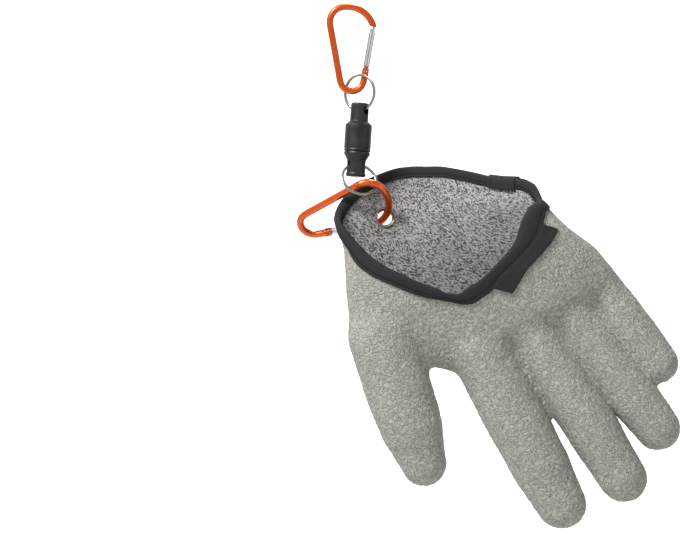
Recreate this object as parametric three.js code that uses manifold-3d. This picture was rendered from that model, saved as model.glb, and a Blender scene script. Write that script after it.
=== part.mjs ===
// A fishing glove that hangs on its retainer: two carabiners, two split rings, a magnetic release
// clip and an eyelet in the cuff. Millimetres, +Z up, seen along +Y. The origin is the inside of the
// upper carabiner's crown, where the glove is hung up.
import * as THREE from "three";
import { mergeVertices } from "three/addons/utils/BufferGeometryUtils.js";
import Module from "manifold-3d";

const wasm = await Module();
wasm.setup();

const degree = Math.PI / 180;
const full = 2 * Math.PI;

// Clearances
const linkGap = 0.3;
const layerGap = 0.3;
const threadGap = 0.75;
const pinGap = 0.25;
const runGap = 0.35;

// Upper carabiner: the leans and turns are in degrees
const upperCarabiner = {
  length: 60,
  rod: 4.6,
  cornerRadius: 10,
  sweepRadius: 17.5,
  bendRadius: 7.8,
  crownFlat: 1.6,
  spineLean: 10.2,
  sweepTurn: 75,
  pivotRise: 6.8,
  gateTube: 4.1,
};

// Lower carabiner, one size larger
const lowerCarabiner = {
  length: 69,
  rod: 5,
  cornerRadius: 11.5,
  sweepRadius: 20.1,
  bendRadius: 9,
  crownFlat: 1.8,
  spineLean: 10.2,
  sweepTurn: 75,
  pivotRise: 7.6,
  gateTube: 4.5,
};
const gateTongue = 1.5;
const latchTongue = 1.5;
const latchReach = 3.4;
const latchPin = 1.2;
const hingePin = 1.3;
const forkWall = 0.3;
const forkFloor = 0.7;

// Split rings
const ringOuter = 25;
const ringWire = 1.7;

// Magnetic release clip
const clipLength = 48.3;
const clipWidth = 17.6;
const neckWidth = 11.7;
const neckHeight = 12;
const shoulderHeight = 2.4;
const socketLength = 31.5;
const plugNeckWidth = 12.2;
const plugShoulder = 5.6;
const flangeWidth = 13;
const flangeHeight = 2.4;
const bossWidth = 11.4;
const bossLength = 6.5;
const holeHeight = 6;
const holeWidth = 5.2;
const upperHoleMargin = 1.8;
const lowerHoleMargin = 4.6;
const threadStart = 0.3;

// How the links hang: turns about the vertical and leans out of it, in degrees
const ringOneTurn = 36;
const ringOneAside = 0.65;
const ringOneForward = 0.16;
const clipLean = 3.6;
const ringTwoTurn = 20;
const ringTwoLean = 31;
const lowerClimb = 18.5;
const lowerYaw = 20;
const lowerRoll = 33;
const lowerHangRun = -1.5;
const crossingTurn = 56;

// Glove wall
const latexWall = 1.1;
const knitWall = 1;
const wall = latexWall + layerGap + knitWall;

// Palm and cuff
const cuffTilt = 5.6;
const cuffHalfWidth = 67;
const cuffHalfDepth = 24;
const palmLength = 77;
const squareness = 2.6;
const edgeStep = 6;

// Rim, its tape and its label
const rimRise = 30.6;
const rimDip = 55;
const tapeWidth = 6;
const tapeThickness = 0.9;
const lapStart = 36;
const lapEnd = 60;
const labelStart = 271;
const labelEnd = 306;
const labelWidth = 8.2;
const labelThickness = 0.9;
const labelLift = 0.35;

// Eyelet
const eyeletHole = 9.5;
const eyeletOuter = 13.6;
const eyeletAround = 116;
const eyeletDown = 1;
const eyeletSheet = 0.55;

// Fingers
const fingerReach = 125;
const fingerWidth = 34;
const fingerDepth = 0.86;
const fingerSides = 12;

// Sections of the palm from above the rim to the finger roots. Down is a share of palmLength,
// across and width of cuffHalfWidth, depth and back of cuffHalfDepth, and turn is in degrees.
const palmTable = [
  { down: -0.52, across: -0.01, width: 0.97, turn: -1, depth: 1.08, back: 0.5 },
  { down: -0.31, across: -0.01, width: 0.985, turn: 0, depth: 1.04, back: 0.29 },
  { down: 0, across: 0, width: 1, turn: 0, depth: 1, back: 0 },
  { down: 0.21, across: 0.1, width: 1.05, turn: 3, depth: 0.96, back: -0.08 },
  { down: 0.43, across: 0.165, width: 1.15, turn: 7, depth: 0.92, back: -0.12 },
  { down: 0.65, across: 0.235, width: 1.235, turn: 11, depth: 0.88, back: -0.08 },
  { down: 0.84, across: 0.48, width: 1.14, turn: 14.3, depth: 0.81, back: 0 },
  { down: 1, across: 0.72, width: 1.015, turn: 20.3, depth: 0.71, back: 0.04 },
  { down: 1.1, across: 0.8, width: 0.92, turn: 21, depth: 0.42, back: 0.08 },
];

// The rim round the cuff: 0 degrees is the little finger's side, 90 the rear wall, 180 the thumb's
// side and 270 the front wall. Rise is a share of rimRise, and of rimDip where it is negative.
const rimTable = [
  { around: 0, rise: 0 },
  { around: 14, rise: 0.33 },
  { around: 30, rise: 0.48 },
  { around: 50, rise: 0.55 },
  { around: 62, rise: 0.63 },
  { around: 75, rise: 0.79 },
  { around: 87, rise: 0.94 },
  { around: 96, rise: 1 },
  { around: 105, rise: 0.985 },
  { around: 112, rise: 0.93 },
  { around: 130, rise: 0.76 },
  { around: 143, rise: 0.585 },
  { around: 157, rise: 0.35 },
  { around: 180, rise: 0 },
  { around: 199, rise: -0.125 },
  { around: 206, rise: -0.22 },
  { around: 223, rise: -0.41 },
  { around: 242, rise: -0.605 },
  { around: 253, rise: -0.76 },
  { around: 260, rise: -0.86 },
  { around: 264, rise: -1 },
  { around: 270, rise: -0.93 },
  { around: 280, rise: -0.76 },
  { around: 293, rise: -0.556 },
  { around: 308, rise: -0.26 },
  { around: 323, rise: -0.1 },
  { around: 342, rise: -0.03 },
  { around: 360, rise: 0 },
];

// Where the palm's sections have their corners, in degrees round the cuff
const ringStops = [
  0, 7, 15, 25, 36, 48, 60, 72, 84, 96, 108, 120, 132, 144, 155, 165, 173, 180, 187, 196, 208, 221, 234,
  246, 256, 264, 271, 282, 294, 306, 318, 330, 342, 352,
];

// Fingers from the thumb to the little finger. Across is a share of cuffHalfWidth, down of palmLength,
// reach of fingerReach, the widths of fingerWidth and back of cuffHalfDepth. Lean is in degrees from
// straight down.
const fingerTable = [
  { across: -0.69, down: 0.935, lean: 13, reach: 0.737, root: 1.4, middle: 1.32, tip: 0.93, back: -0.12 },
  { across: 0.23, down: 1.157, lean: 23, reach: 0.935, root: 1.24, middle: 1.19, tip: 0.95, back: -0.06 },
  { across: 0.68, down: 0.94, lean: 26.7, reach: 1, root: 0.98, middle: 1.04, tip: 0.95, back: 0 },
  { across: 1.083, down: 0.83, lean: 31.4, reach: 0.846, root: 0.94, middle: 0.97, tip: 0.9, back: 0.06 },
  { across: 1.324, down: 0.503, lean: 30.4, reach: 0.682, root: 0.66, middle: 0.84, tip: 0.81, back: 0.1 },
];
// Stations along a finger, as shares of its reach. Blend goes from 0 at the root over 1 in the middle
// to 2 at the tip, and below 0 for the stretch inside the palm, which narrows by rootTaper.
const fingerStations = [
  { along: -0.3, blend: -1.4 },
  { along: -0.12, blend: -0.6 },
  { along: 0, blend: 0 },
  { along: 0.25, blend: 0.6 },
  { along: 0.5, blend: 1 },
  { along: 0.78, blend: 1.3 },
  { along: 1, blend: 2 },
];
const rootTaper = 0.45;
const tipSteps = 3;

// Materials
const orangeAluminium = new THREE.MeshStandardMaterial({ color: 0xdb5a1c, roughness: 0.28, metalness: 0.85 });
const silverAluminium = new THREE.MeshStandardMaterial({ color: 0xc4c6c8, roughness: 0.3, metalness: 0.95 });
const nickelSteel = new THREE.MeshStandardMaterial({ color: 0xb8b4ac, roughness: 0.25, metalness: 1 });
const blackPlastic = new THREE.MeshStandardMaterial({ color: 0x343335, roughness: 0.62, metalness: 0 });
const greyLatex = new THREE.MeshStandardMaterial({ color: 0x9c9b92, roughness: 0.85, metalness: 0 });
const speckledKnit = new THREE.MeshStandardMaterial({ color: 0xc2c0bd, roughness: 0.95, metalness: 0 });
const blackTape = new THREE.MeshStandardMaterial({ color: 0x2a2a2c, roughness: 0.9, metalness: 0 });

// Solids and meshes
function signedVolume(points, triangles) {
  let total = 0;
  for (let i = 0; i < triangles.length; i += 3) {
    const a = points[triangles[i]];
    const b = points[triangles[i + 1]];
    const c = points[triangles[i + 2]];
    total += a.dot(new THREE.Vector3().crossVectors(b, c)) / 6;
  }
  return total;
}

function solidFromTriangles(points, triangles) {
  const outward = signedVolume(points, triangles) > 0;
  const triVerts = new Uint32Array(triangles);
  if (!outward) {
    triVerts.reverse();
  }
  const vertProperties = new Float32Array(points.flatMap((point) => [point.x, point.y, point.z]));
  return new wasm.Manifold(new wasm.Mesh({ numProp: 3, vertProperties, triVerts }));
}

function solidFromGeometry(geometry) {
  const bare = geometry.clone();
  bare.deleteAttribute("normal");
  bare.deleteAttribute("uv");
  const merged = mergeVertices(bare, 1e-4);
  const place = merged.getAttribute("position");
  const points = [];
  for (let i = 0; i < place.count; i += 1) {
    points.push(new THREE.Vector3().fromBufferAttribute(place, i));
  }
  const triangles = [];
  for (let i = 0; i < merged.index.count; i += 3) {
    const corners = [merged.index.getX(i), merged.index.getX(i + 1), merged.index.getX(i + 2)];
    if (new Set(corners).size === 3) {
      triangles.push(...corners);
    }
  }
  return solidFromTriangles(points, triangles);
}

function meshFromSolid(name, solid, material) {
  const { numProp, vertProperties, triVerts } = solid.getMesh();
  const geometry = new THREE.BufferGeometry();
  const place = new Float32Array((vertProperties.length / numProp) * 3);
  for (let i = 0; i < vertProperties.length / numProp; i += 1) {
    place.set(vertProperties.slice(i * numProp, i * numProp + 3), i * 3);
  }
  geometry.setAttribute("position", new THREE.BufferAttribute(place, 3));
  geometry.setIndex(new THREE.BufferAttribute(triVerts, 1));
  geometry.computeVertexNormals();
  const mesh = new THREE.Mesh(geometry, material);
  mesh.name = name;
  return mesh;
}

function roundShape(radius, sides) {
  const corners = [];
  for (let i = 0; i < sides; i += 1) {
    const angle = (full * i) / sides;
    corners.push(new THREE.Vector2(radius * Math.cos(angle), radius * Math.sin(angle)));
  }
  return new THREE.Shape(corners);
}

function rodAlong(points, radius, sides, steps) {
  const path = new THREE.CatmullRomCurve3(points, false, "centripetal");
  const shape = roundShape(radius, sides);
  return solidFromGeometry(new THREE.ExtrudeGeometry(shape, { steps, extrudePath: path }));
}

// A round bar from one point to another
function bar(start, end, radius, sides) {
  const run = new THREE.Vector3().subVectors(end, start);
  const geometry = new THREE.CylinderGeometry(radius, radius, run.length(), sides);
  const turn = new THREE.Quaternion().setFromUnitVectors(new THREE.Vector3(0, 1, 0), run.clone().normalize());
  geometry.applyQuaternion(turn);
  geometry.translate((start.x + end.x) / 2, (start.y + end.y) / 2, (start.z + end.z) / 2);
  return solidFromGeometry(geometry);
}

function box(sizeX, sizeY, sizeZ, centre, basis) {
  const geometry = new THREE.BoxGeometry(sizeX, sizeY, sizeZ);
  if (basis) {
    geometry.applyMatrix4(basis);
  }
  geometry.translate(centre.x, centre.y, centre.z);
  return solidFromGeometry(geometry);
}

// Rings of points joined row by row, closed by a fan at each end
function loft(rows, firstHub, lastHub) {
  const sides = rows[0].length;
  const points = rows.flat();
  const triangles = [];
  for (let row = 0; row + 1 < rows.length; row += 1) {
    for (let side = 0; side < sides; side += 1) {
      const next = (side + 1) % sides;
      const a = row * sides + side;
      const b = row * sides + next;
      triangles.push(a, b, b + sides, a, b + sides, a + sides);
    }
  }
  const first = points.push(firstHub) - 1;
  const last = points.push(lastHub) - 1;
  const tail = (rows.length - 1) * sides;
  for (let side = 0; side < sides; side += 1) {
    const next = (side + 1) % sides;
    triangles.push(first, next, side);
    triangles.push(last, tail + side, tail + next);
  }
  return solidFromTriangles(points, triangles);
}

// A section of corners swept from place to place, round in a closed ring unless it has end
// triangles. Its rising sides climb the wall, and their diagonals turn to lie as on the falling ones.
function sweep(sections, rising, endTriangles) {
  const corners = sections[0].length;
  const count = sections.length;
  const points = sections.flat();
  const triangles = [];
  const spans = endTriangles ? count - 1 : count;
  for (let i = 0; i < spans; i += 1) {
    const here = i * corners;
    const there = ((i + 1) % count) * corners;
    for (let j = 0; j < corners; j += 1) {
      const next = (j + 1) % corners;
      if (rising.includes(j)) {
        triangles.push(here + j, here + next, there + j, here + next, there + next, there + j);
      } else {
        triangles.push(here + j, here + next, there + next, here + j, there + next, there + j);
      }
    }
  }
  if (endTriangles) {
    const tail = (count - 1) * corners;
    for (const [a, b, c] of endTriangles) {
      triangles.push(a, c, b);
      triangles.push(tail + a, tail + b, tail + c);
    }
  }
  return solidFromTriangles(points, triangles);
}

// Links
function leastDistance(lineA, lineB) {
  let least = Infinity;
  for (const a of lineA) {
    for (const b of lineB) {
      least = Math.min(least, a.distanceToSquared(b));
    }
  }
  return Math.sqrt(least);
}

// How far a link can be let down until its centre line lies this clearance from its holder's
function hangDrop(holder, link, clearance) {
  const step = 0.05;
  let drop = 0;
  const lowered = link.map((point) => point.clone());
  while (drop < ringOuter && leastDistance(holder, lowered) > clearance) {
    drop += step;
    for (const point of lowered) {
      point.z -= step;
    }
  }
  return drop;
}

function arcPoints(centreX, centreZ, radius, start, end, count) {
  const points = [];
  for (let i = 0; i <= count; i += 1) {
    const angle = start + ((end - start) * i) / count;
    points.push(new THREE.Vector3(centreX + radius * Math.cos(angle), 0, centreZ + radius * Math.sin(angle)));
  }
  return points;
}

function circlePoints(centre, axisA, axisB, radius, count) {
  const points = [];
  for (let i = 0; i < count; i += 1) {
    const angle = (full * i) / count;
    const point = centre.clone().addScaledVector(axisA, radius * Math.cos(angle));
    points.push(point.addScaledVector(axisB, radius * Math.sin(angle)));
  }
  return points;
}

// The centre line of a carabiner in its own XZ plane, from the nose over the crown, down the spine
// and round the bend to the gate's pivot. Its origin is the inside of the crown.
function carabinerPlan(size) {
  const half = size.rod / 2;
  const lean = size.spineLean * degree;
  const sweepZ = half - size.sweepRadius;
  const noseAngle = Math.PI / 2 - size.sweepTurn * degree;
  const nose = new THREE.Vector3(
    size.sweepRadius * Math.cos(noseAngle),
    0,
    sweepZ + size.sweepRadius * Math.sin(noseAngle),
  );
  const cornerX = -size.crownFlat;
  const cornerZ = half - size.cornerRadius;
  const outX = -Math.cos(lean);
  const outZ = -Math.sin(lean);
  const bendZ = size.rod + half - size.length + size.bendRadius;
  const radiusStep = size.cornerRadius - size.bendRadius;
  const spineRun = (cornerZ + radiusStep * outZ - bendZ) / Math.cos(lean);
  const bendX = cornerX + radiusStep * outX + spineRun * Math.sin(lean);
  const toNose = Math.atan2(nose.z - bendZ, nose.x - bendX);
  const reach = Math.hypot(nose.x - bendX, nose.z - bendZ);
  const bendEndAngle = toNose - Math.acos(size.bendRadius / reach);
  const bendEnd = new THREE.Vector3(
    bendX + size.bendRadius * Math.cos(bendEndAngle),
    0,
    bendZ + size.bendRadius * Math.sin(bendEndAngle),
  );
  const gateWay = new THREE.Vector3().subVectors(nose, bendEnd).normalize();
  const pivot = bendEnd.clone().addScaledVector(gateWay, size.pivotRise);
  const outsideNose = 0.12;
  const crown = arcPoints(0, sweepZ, size.sweepRadius, noseAngle - outsideNose, Math.PI / 2, 10);
  const corner = arcPoints(cornerX, cornerZ, size.cornerRadius, Math.PI / 2, Math.PI + lean, 8);
  const bend = arcPoints(bendX, bendZ, size.bendRadius, Math.PI + lean, full + bendEndAngle, 10);
  const spineSteps = 6;
  const spine = [];
  for (let i = 1; i < spineSteps; i += 1) {
    spine.push(new THREE.Vector3().lerpVectors(corner[corner.length - 1], bend[0], i / spineSteps));
  }
  const line = [...crown, ...corner, ...spine, ...bend, pivot];
  return { line, nose, pivot, gateWay, bendX, bendZ, cornerX, cornerZ, sweepZ, noseAngle };
}

function gateBasis(plan) {
  const inward = new THREE.Vector3(-plan.gateWay.z, 0, plan.gateWay.x);
  return new THREE.Matrix4().makeBasis(inward, new THREE.Vector3(0, 1, 0), plan.gateWay);
}

function alongGate(plan, inward, aside, up) {
  return new THREE.Vector3(
    plan.pivot.x - inward * plan.gateWay.z + up * plan.gateWay.x,
    aside,
    plan.pivot.z + inward * plan.gateWay.x + up * plan.gateWay.z,
  );
}

function carabinerParts(size, prefix) {
  const plan = carabinerPlan(size);
  const basis = gateBasis(plan);
  const half = size.rod / 2;
  const gateHalf = size.gateTube / 2;
  const slotHalf = gateTongue / 2 + runGap;
  const forkHalf = half + forkWall;
  const gateReach = plan.nose.distanceTo(plan.pivot) - linkGap;
  const at = (inward, aside, up) => alongGate(plan, inward, aside, up);
  const tongueRound = hingePin / 2 + pinGap + 0.7;

  // Body: rod, fork with round ears, latch tongue with its hook
  const rodSteps = 44;
  const rodSides = 10;
  let body = rodAlong(plan.line, half, rodSides, rodSteps);
  const farSide = size.rod * 2;
  body = body.subtract(box(farSide, farSide, farSide, at(0, 0, gateReach + linkGap - farSide / 2), basis));
  const collarLow = -tongueRound - runGap - forkFloor;
  body = body.add(bar(at(0, 0, collarLow), at(0, 0, 0), forkHalf, 16));
  const ears = bar(at(0, -forkHalf, 0), at(0, forkHalf, 0), forkHalf, 16);
  body = body.add(ears.intersect(bar(at(0, 0, -forkHalf), at(0, 0, forkHalf * 2), forkHalf, 16)));
  const slotRise = tongueRound + runGap + forkHalf * 2;
  const slotMiddle = slotRise / 2 - tongueRound - runGap;
  body = body.subtract(box(farSide, slotHalf * 2, slotRise, at(0, 0, slotMiddle), basis));
  body = body.subtract(bar(at(0, -farSide, 0), at(0, farSide, 0), hingePin / 2 + pinGap, 12));
  const tongueWide = gateHalf * 1.5;
  const latchLow = gateReach + linkGap - latchReach;
  const latchHeight = latchReach + half;
  const latch = box(tongueWide, latchTongue, latchHeight, at(0, 0, latchLow + latchHeight / 2), basis);
  const catchRise = gateReach - latchReach / 2;
  const mouth = latchPin / 2 + runGap;
  const notch = box(farSide, farSide, mouth * 2, at(farSide / 2 - mouth, 0, catchRise), basis);
  body = body.add(latch.subtract(notch));

  // Gate: tube, hinge tongue, slotted top with the catch pin across it
  let gate = bar(at(0, 0, forkHalf + runGap), at(0, 0, gateReach), gateHalf, 14);
  gate = gate.subtract(
    box(farSide, latchTongue + 2 * runGap, farSide, at(0, 0, gateReach - latchReach - runGap + farSide / 2), basis),
  );
  const tongueTop = forkHalf + runGap + 1;
  gate = gate.add(box(tongueRound * 2, gateTongue, tongueTop, at(0, 0, tongueTop / 2), basis));
  gate = gate.add(bar(at(0, -gateTongue / 2, 0), at(0, gateTongue / 2, 0), tongueRound, 14));
  gate = gate.subtract(bar(at(0, -farSide, 0), at(0, farSide, 0), hingePin / 2 + pinGap, 12));
  const catchHalf = gateHalf + 0.25;
  gate = gate.add(bar(at(0, -catchHalf, catchRise), at(0, catchHalf, catchRise), latchPin / 2, 10));

  const pinHalf = forkHalf + 0.15;
  const pin = bar(at(0, -pinHalf, 0), at(0, pinHalf, 0), hingePin / 2, 12);
  const group = new THREE.Group();
  group.add(meshFromSolid(`${prefix}_carabiner_body`, body, orangeAluminium));
  group.add(meshFromSolid(`${prefix}_carabiner_gate`, gate, silverAluminium));
  group.add(meshFromSolid(`${prefix}_hinge_pin`, pin, orangeAluminium));
  return { group, plan };
}

// Split ring: a lathed double wire with a groove between its coils
const ringMean = (ringOuter - ringWire) / 2;
const wireHalf = ringWire / 2;

function splitRing(name, centre, axisA, axisB) {
  const long = 0.92;
  const short = 0.39;
  const groove = 0.72;
  const section = [
    [long, short],
    [groove, 0],
    [long, -short],
    [short, -long],
    [-short, -long],
    [-long, -short],
    [-groove, 0],
    [-long, short],
    [-short, long],
    [short, long],
  ];
  const profile = section.map(([out, side]) => new THREE.Vector2(ringMean + out * wireHalf, side * wireHalf));
  profile.push(profile[0].clone());
  const geometry = new THREE.LatheGeometry(profile, 32);
  const normal = new THREE.Vector3().crossVectors(axisB, axisA);
  geometry.applyMatrix4(new THREE.Matrix4().makeBasis(axisA, normal, axisB));
  geometry.translate(centre.x, centre.y, centre.z);
  return meshFromSolid(name, solidFromGeometry(geometry), nickelSteel);
}

// Release clip: two lathed halves on one axis, with a hole across each neck
function turned(profile, sides) {
  const points = profile.map(([radius, depth]) => new THREE.Vector2(radius, -depth));
  const geometry = new THREE.LatheGeometry(points, sides);
  geometry.rotateX(Math.PI / 2);
  return solidFromGeometry(geometry);
}

function crossHole(depth, turnDegrees) {
  const geometry = new THREE.CylinderGeometry(0.5, 0.5, clipWidth * 2, 16);
  geometry.rotateZ(Math.PI / 2);
  geometry.scale(1, holeWidth, holeHeight);
  geometry.rotateZ(turnDegrees * degree);
  geometry.translate(0, 0, -depth);
  return solidFromGeometry(geometry);
}

function clipParts(lowerHoleTurn) {
  const sides = 24;
  const neck = neckWidth / 2;
  const body = clipWidth / 2;
  const recess = bossWidth / 2 + runGap;
  const groove = 0.35;
  const grooveDepth = socketLength - 2;
  const socketProfile = [
    [0, 0],
    [neck - 0.8, 0],
    [neck, 0.8],
    [neck + 0.2, neckHeight],
    [body, neckHeight + shoulderHeight],
    [body, grooveDepth],
    [body - groove, grooveDepth + 0.3],
    [body - groove, grooveDepth + 0.7],
    [body, grooveDepth + 1],
    [body, socketLength],
    [recess, socketLength],
    [recess, socketLength - bossLength - runGap],
    [0, socketLength - bossLength - runGap],
  ];
  const plugTop = socketLength + layerGap;
  const plugNeck = plugNeckWidth / 2;
  const flange = flangeWidth / 2;
  const plugProfile = [
    [0, plugTop - bossLength],
    [bossWidth / 2 - 0.6, plugTop - bossLength],
    [bossWidth / 2, plugTop - bossLength + 0.6],
    [bossWidth / 2, plugTop],
    [body - 0.5, plugTop],
    [body - 0.1, plugTop + 1.6],
    [body - 1.1, plugTop + 3.2],
    [plugNeck + 0.3, plugTop + plugShoulder],
    [plugNeck, plugTop + plugShoulder + 1],
    [plugNeck, clipLength - flangeHeight],
    [flange, clipLength - flangeHeight + 0.5],
    [flange, clipLength - 0.6],
    [flange - 0.6, clipLength],
    [0, clipLength],
  ];
  const upperHole = upperHoleMargin + holeHeight / 2;
  const lowerHole = clipLength - lowerHoleMargin - holeHeight / 2;
  const socket = turned(socketProfile, sides).subtract(crossHole(upperHole, 0));
  const plug = turned(plugProfile, sides).subtract(crossHole(lowerHole, lowerHoleTurn));
  return { socket, plug };
}

// How far a ring's wire has risen where it leaves a neck of this width
function wireRise(neckSize) {
  return ringMean - Math.sqrt(ringMean * ringMean - (neckSize * neckSize) / 4);
}

// Glove form
function between(table, key, value) {
  let index = 0;
  while (index < table.length - 2 && value > table[index + 1][key]) {
    index += 1;
  }
  const low = table[index];
  const high = table[index + 1];
  const share = Math.min(1, Math.max(0, (value - low[key]) / (high[key] - low[key])));
  const row = {};
  for (const column of Object.keys(low)) {
    row[column] = low[column] + (high[column] - low[column]) * share;
  }
  return row;
}

function power(value) {
  return Math.sign(value) * Math.abs(value) ** (2 / squareness);
}

// A point of the palm's surface, moved out of it by the offset
function palmPoint(around, height, offset) {
  const row = between(palmTable, "down", -height / palmLength);
  const reach = (row.width * cuffHalfWidth + offset) * power(Math.cos(around * degree));
  const deep = (row.depth * cuffHalfDepth + offset) * power(Math.sin(around * degree));
  return new THREE.Vector3(
    row.across * cuffHalfWidth + reach * Math.cos(row.turn * degree),
    row.back * cuffHalfDepth + deep,
    height + reach * Math.sin(row.turn * degree),
  );
}

function rimHeight(around) {
  const turn = ((around % 360) + 360) % 360;
  const rise = between(rimTable, "around", turn).rise;
  return rise * (rise < 0 ? rimDip : rimRise);
}

// The rim's line moved across the wall's surface, down the wall where the distance is positive
function rimPlace(around, distance) {
  const before = palmPoint(around - edgeStep, rimHeight(around - edgeStep), 0);
  const after = palmPoint(around + edgeStep, rimHeight(around + edgeStep), 0);
  const run = Math.hypot(after.x - before.x, after.y - before.y);
  const climb = rimHeight(around + edgeStep) - rimHeight(around - edgeStep);
  const length = Math.hypot(run, climb);
  return {
    around: around + ((distance * climb) / length) * ((2 * edgeStep) / run),
    height: rimHeight(around) - (distance * run) / length,
  };
}

function stopsFrom(start, end) {
  return ringStops.filter((stop) => stop >= start && stop <= end);
}

const linerEnd = -0.84 * palmLength;

// Rows of the palm's wall from the rim down: rim, tape edge, then even steps to the lining's end
function palmRow(share, distance, offset) {
  return ringStops.map((stop) => {
    const edge = rimPlace(stop, distance);
    const around = edge.around + (stop - edge.around) * share;
    return palmPoint(around, edge.height + (linerEnd - edge.height) * share, offset);
  });
}

const wallShares = [0, 0.3, 0.62, 1];

function wallRows(offset) {
  const rows = [palmRow(0, 0, offset)];
  for (const share of wallShares) {
    rows.push(palmRow(share, tapeWidth, offset));
  }
  return rows;
}

function palmSolid(offset, openAbove) {
  const rows = wallRows(offset);
  for (const share of [1, 1.1]) {
    rows.push(ringStops.map((stop) => palmPoint(stop, -share * palmLength, offset)));
  }
  const lid = openAbove ? rows[0].map((p) => p.clone().setZ(p.z + rimRise)) : palmRow(0, 0, -cuffHalfDepth / 3);
  rows.unshift(lid);
  const mean = (values) => values.reduce((sum, value) => sum + value, 0) / values.length;
  const hub = new THREE.Vector3(0, mean(rows[0].map((p) => p.y)), mean(rows[0].map((p) => p.z)));
  const last = rows[rows.length - 1];
  const foot = new THREE.Vector3(mean(last.map((p) => p.x)), mean(last.map((p) => p.y)), mean(last.map((p) => p.z)));
  return loft(rows, hub, foot);
}

function fingerShare(finger, blend) {
  if (blend < 0) {
    return finger.root * (1 + rootTaper * blend);
  }
  if (blend < 1) {
    return finger.root + (finger.middle - finger.root) * blend;
  }
  return finger.middle + (finger.tip - finger.middle) * (blend - 1);
}

function fingerSolid(finger, offset) {
  const lean = finger.lean * degree;
  const way = new THREE.Vector3(Math.sin(lean), 0, -Math.cos(lean));
  const side = new THREE.Vector3(Math.cos(lean), 0, Math.sin(lean));
  const root = new THREE.Vector3(
    finger.across * cuffHalfWidth,
    finger.back * cuffHalfDepth,
    -finger.down * palmLength,
  );
  const reach = finger.reach * fingerReach;
  const ring = (along, halfWidth, halfDepth) => {
    const centre = root.clone().addScaledVector(way, along);
    const points = [];
    for (let i = 0; i < fingerSides; i += 1) {
      const angle = (full * (i + 0.5)) / fingerSides;
      const point = centre.clone().addScaledVector(side, halfWidth * Math.cos(angle));
      point.y += halfDepth * Math.sin(angle);
      points.push(point);
    }
    return points;
  };
  const rows = fingerStations.map(({ along, blend }) => {
    const half = (fingerShare(finger, blend) * fingerWidth) / 2;
    return ring(along * reach, half + offset, half * fingerDepth + offset);
  });
  const tip = (finger.tip * fingerWidth) / 2;
  for (let i = 1; i <= tipSteps; i += 1) {
    const angle = (i / (tipSteps + 0.6)) * (Math.PI / 2);
    const shrink = Math.cos(angle);
    rows.push(
      ring(reach + (tip + offset) * Math.sin(angle), (tip + offset) * shrink, (tip * fingerDepth + offset) * shrink),
    );
  }
  const top = root.clone().addScaledVector(way, fingerStations[0].along * reach);
  const end = root.clone().addScaledVector(way, reach + tip + offset);
  return loft(rows, top, end);
}

function gloveForm(offset, openAbove) {
  let form = palmSolid(offset, openAbove);
  for (const finger of fingerTable) {
    form = form.add(fingerSolid(finger, offset));
  }
  return form;
}

// Eyelet: place, wall normal and the cutters for its hole and flanges
function eyeletPlace() {
  const height = -eyeletDown;
  const step = 2;
  const middle = palmPoint(eyeletAround, height, -wall / 2);
  const along = new THREE.Vector3().subVectors(
    palmPoint(eyeletAround + step, height, 0),
    palmPoint(eyeletAround - step, height, 0),
  );
  const up = new THREE.Vector3().subVectors(
    palmPoint(eyeletAround, height + step, 0),
    palmPoint(eyeletAround, height - step, 0),
  );
  const normal = new THREE.Vector3().crossVectors(along, up).normalize();
  if (normal.y < 0) {
    normal.negate();
  }
  return { middle, normal };
}

function eyeletSolid(place) {
  const hole = eyeletHole / 2;
  const outer = eyeletOuter / 2;
  const inside = wall / 2 + layerGap;
  const thick = inside + eyeletSheet;
  const barrel = hole + eyeletSheet;
  const lipTurns = [14, 38, 62, 82];
  const half = lipTurns.map((turn) => [
    hole + thick * (1 - Math.cos(turn * degree)),
    thick * Math.sin(turn * degree),
  ]);
  half.push([outer, inside + eyeletSheet * 0.75], [outer - eyeletSheet * 0.3, inside], [barrel, inside]);
  const profile = half.map(([radius, high]) => new THREE.Vector2(radius, high));
  for (const [radius, high] of half.slice().reverse()) {
    profile.push(new THREE.Vector2(radius, -high));
  }
  profile.push(profile[0].clone());
  const geometry = new THREE.LatheGeometry(profile, 22);
  geometry.applyQuaternion(new THREE.Quaternion().setFromUnitVectors(new THREE.Vector3(0, 1, 0), place.normal));
  geometry.translate(place.middle.x, place.middle.y, place.middle.z);
  return solidFromGeometry(geometry);
}

function eyeletCutters(place) {
  const barrel = eyeletHole / 2 + eyeletSheet + layerGap;
  const flange = eyeletOuter / 2 + layerGap;
  const reach = 4;
  const at = (along) => place.middle.clone().addScaledVector(place.normal, along);
  const hole = bar(at(-reach), at(reach), barrel, 20);
  const front = bar(at(-reach), at(-wall / 2), flange, 20);
  const rear = bar(at(wall / 2), at(reach), flange, 20);
  return [hole, front, rear];
}

// Tape folded over the rim: a U section from one stop to the next
const tapeRising = [0, 4, 5];
const tapeEnds = [
  [0, 1, 9],
  [1, 8, 9],
  [1, 7, 8],
  [1, 2, 7],
  [2, 6, 7],
  [2, 5, 6],
  [2, 4, 5],
  [2, 3, 4],
];

function tapeSection(stop, base, width) {
  const near = base + layerGap;
  const far = near + tapeThickness;
  const point = (distance, offset) => {
    const place = rimPlace(stop, distance);
    return palmPoint(place.around, place.height, offset);
  };
  return [
    point(width, far),
    point(-far, far),
    point(-far, -wall - far),
    point(width, -wall - far),
    point(width, -wall - near),
    point(0, -wall - near),
    point(-near, -wall - near),
    point(-near, near),
    point(0, near),
    point(width, near),
  ];
}

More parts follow.
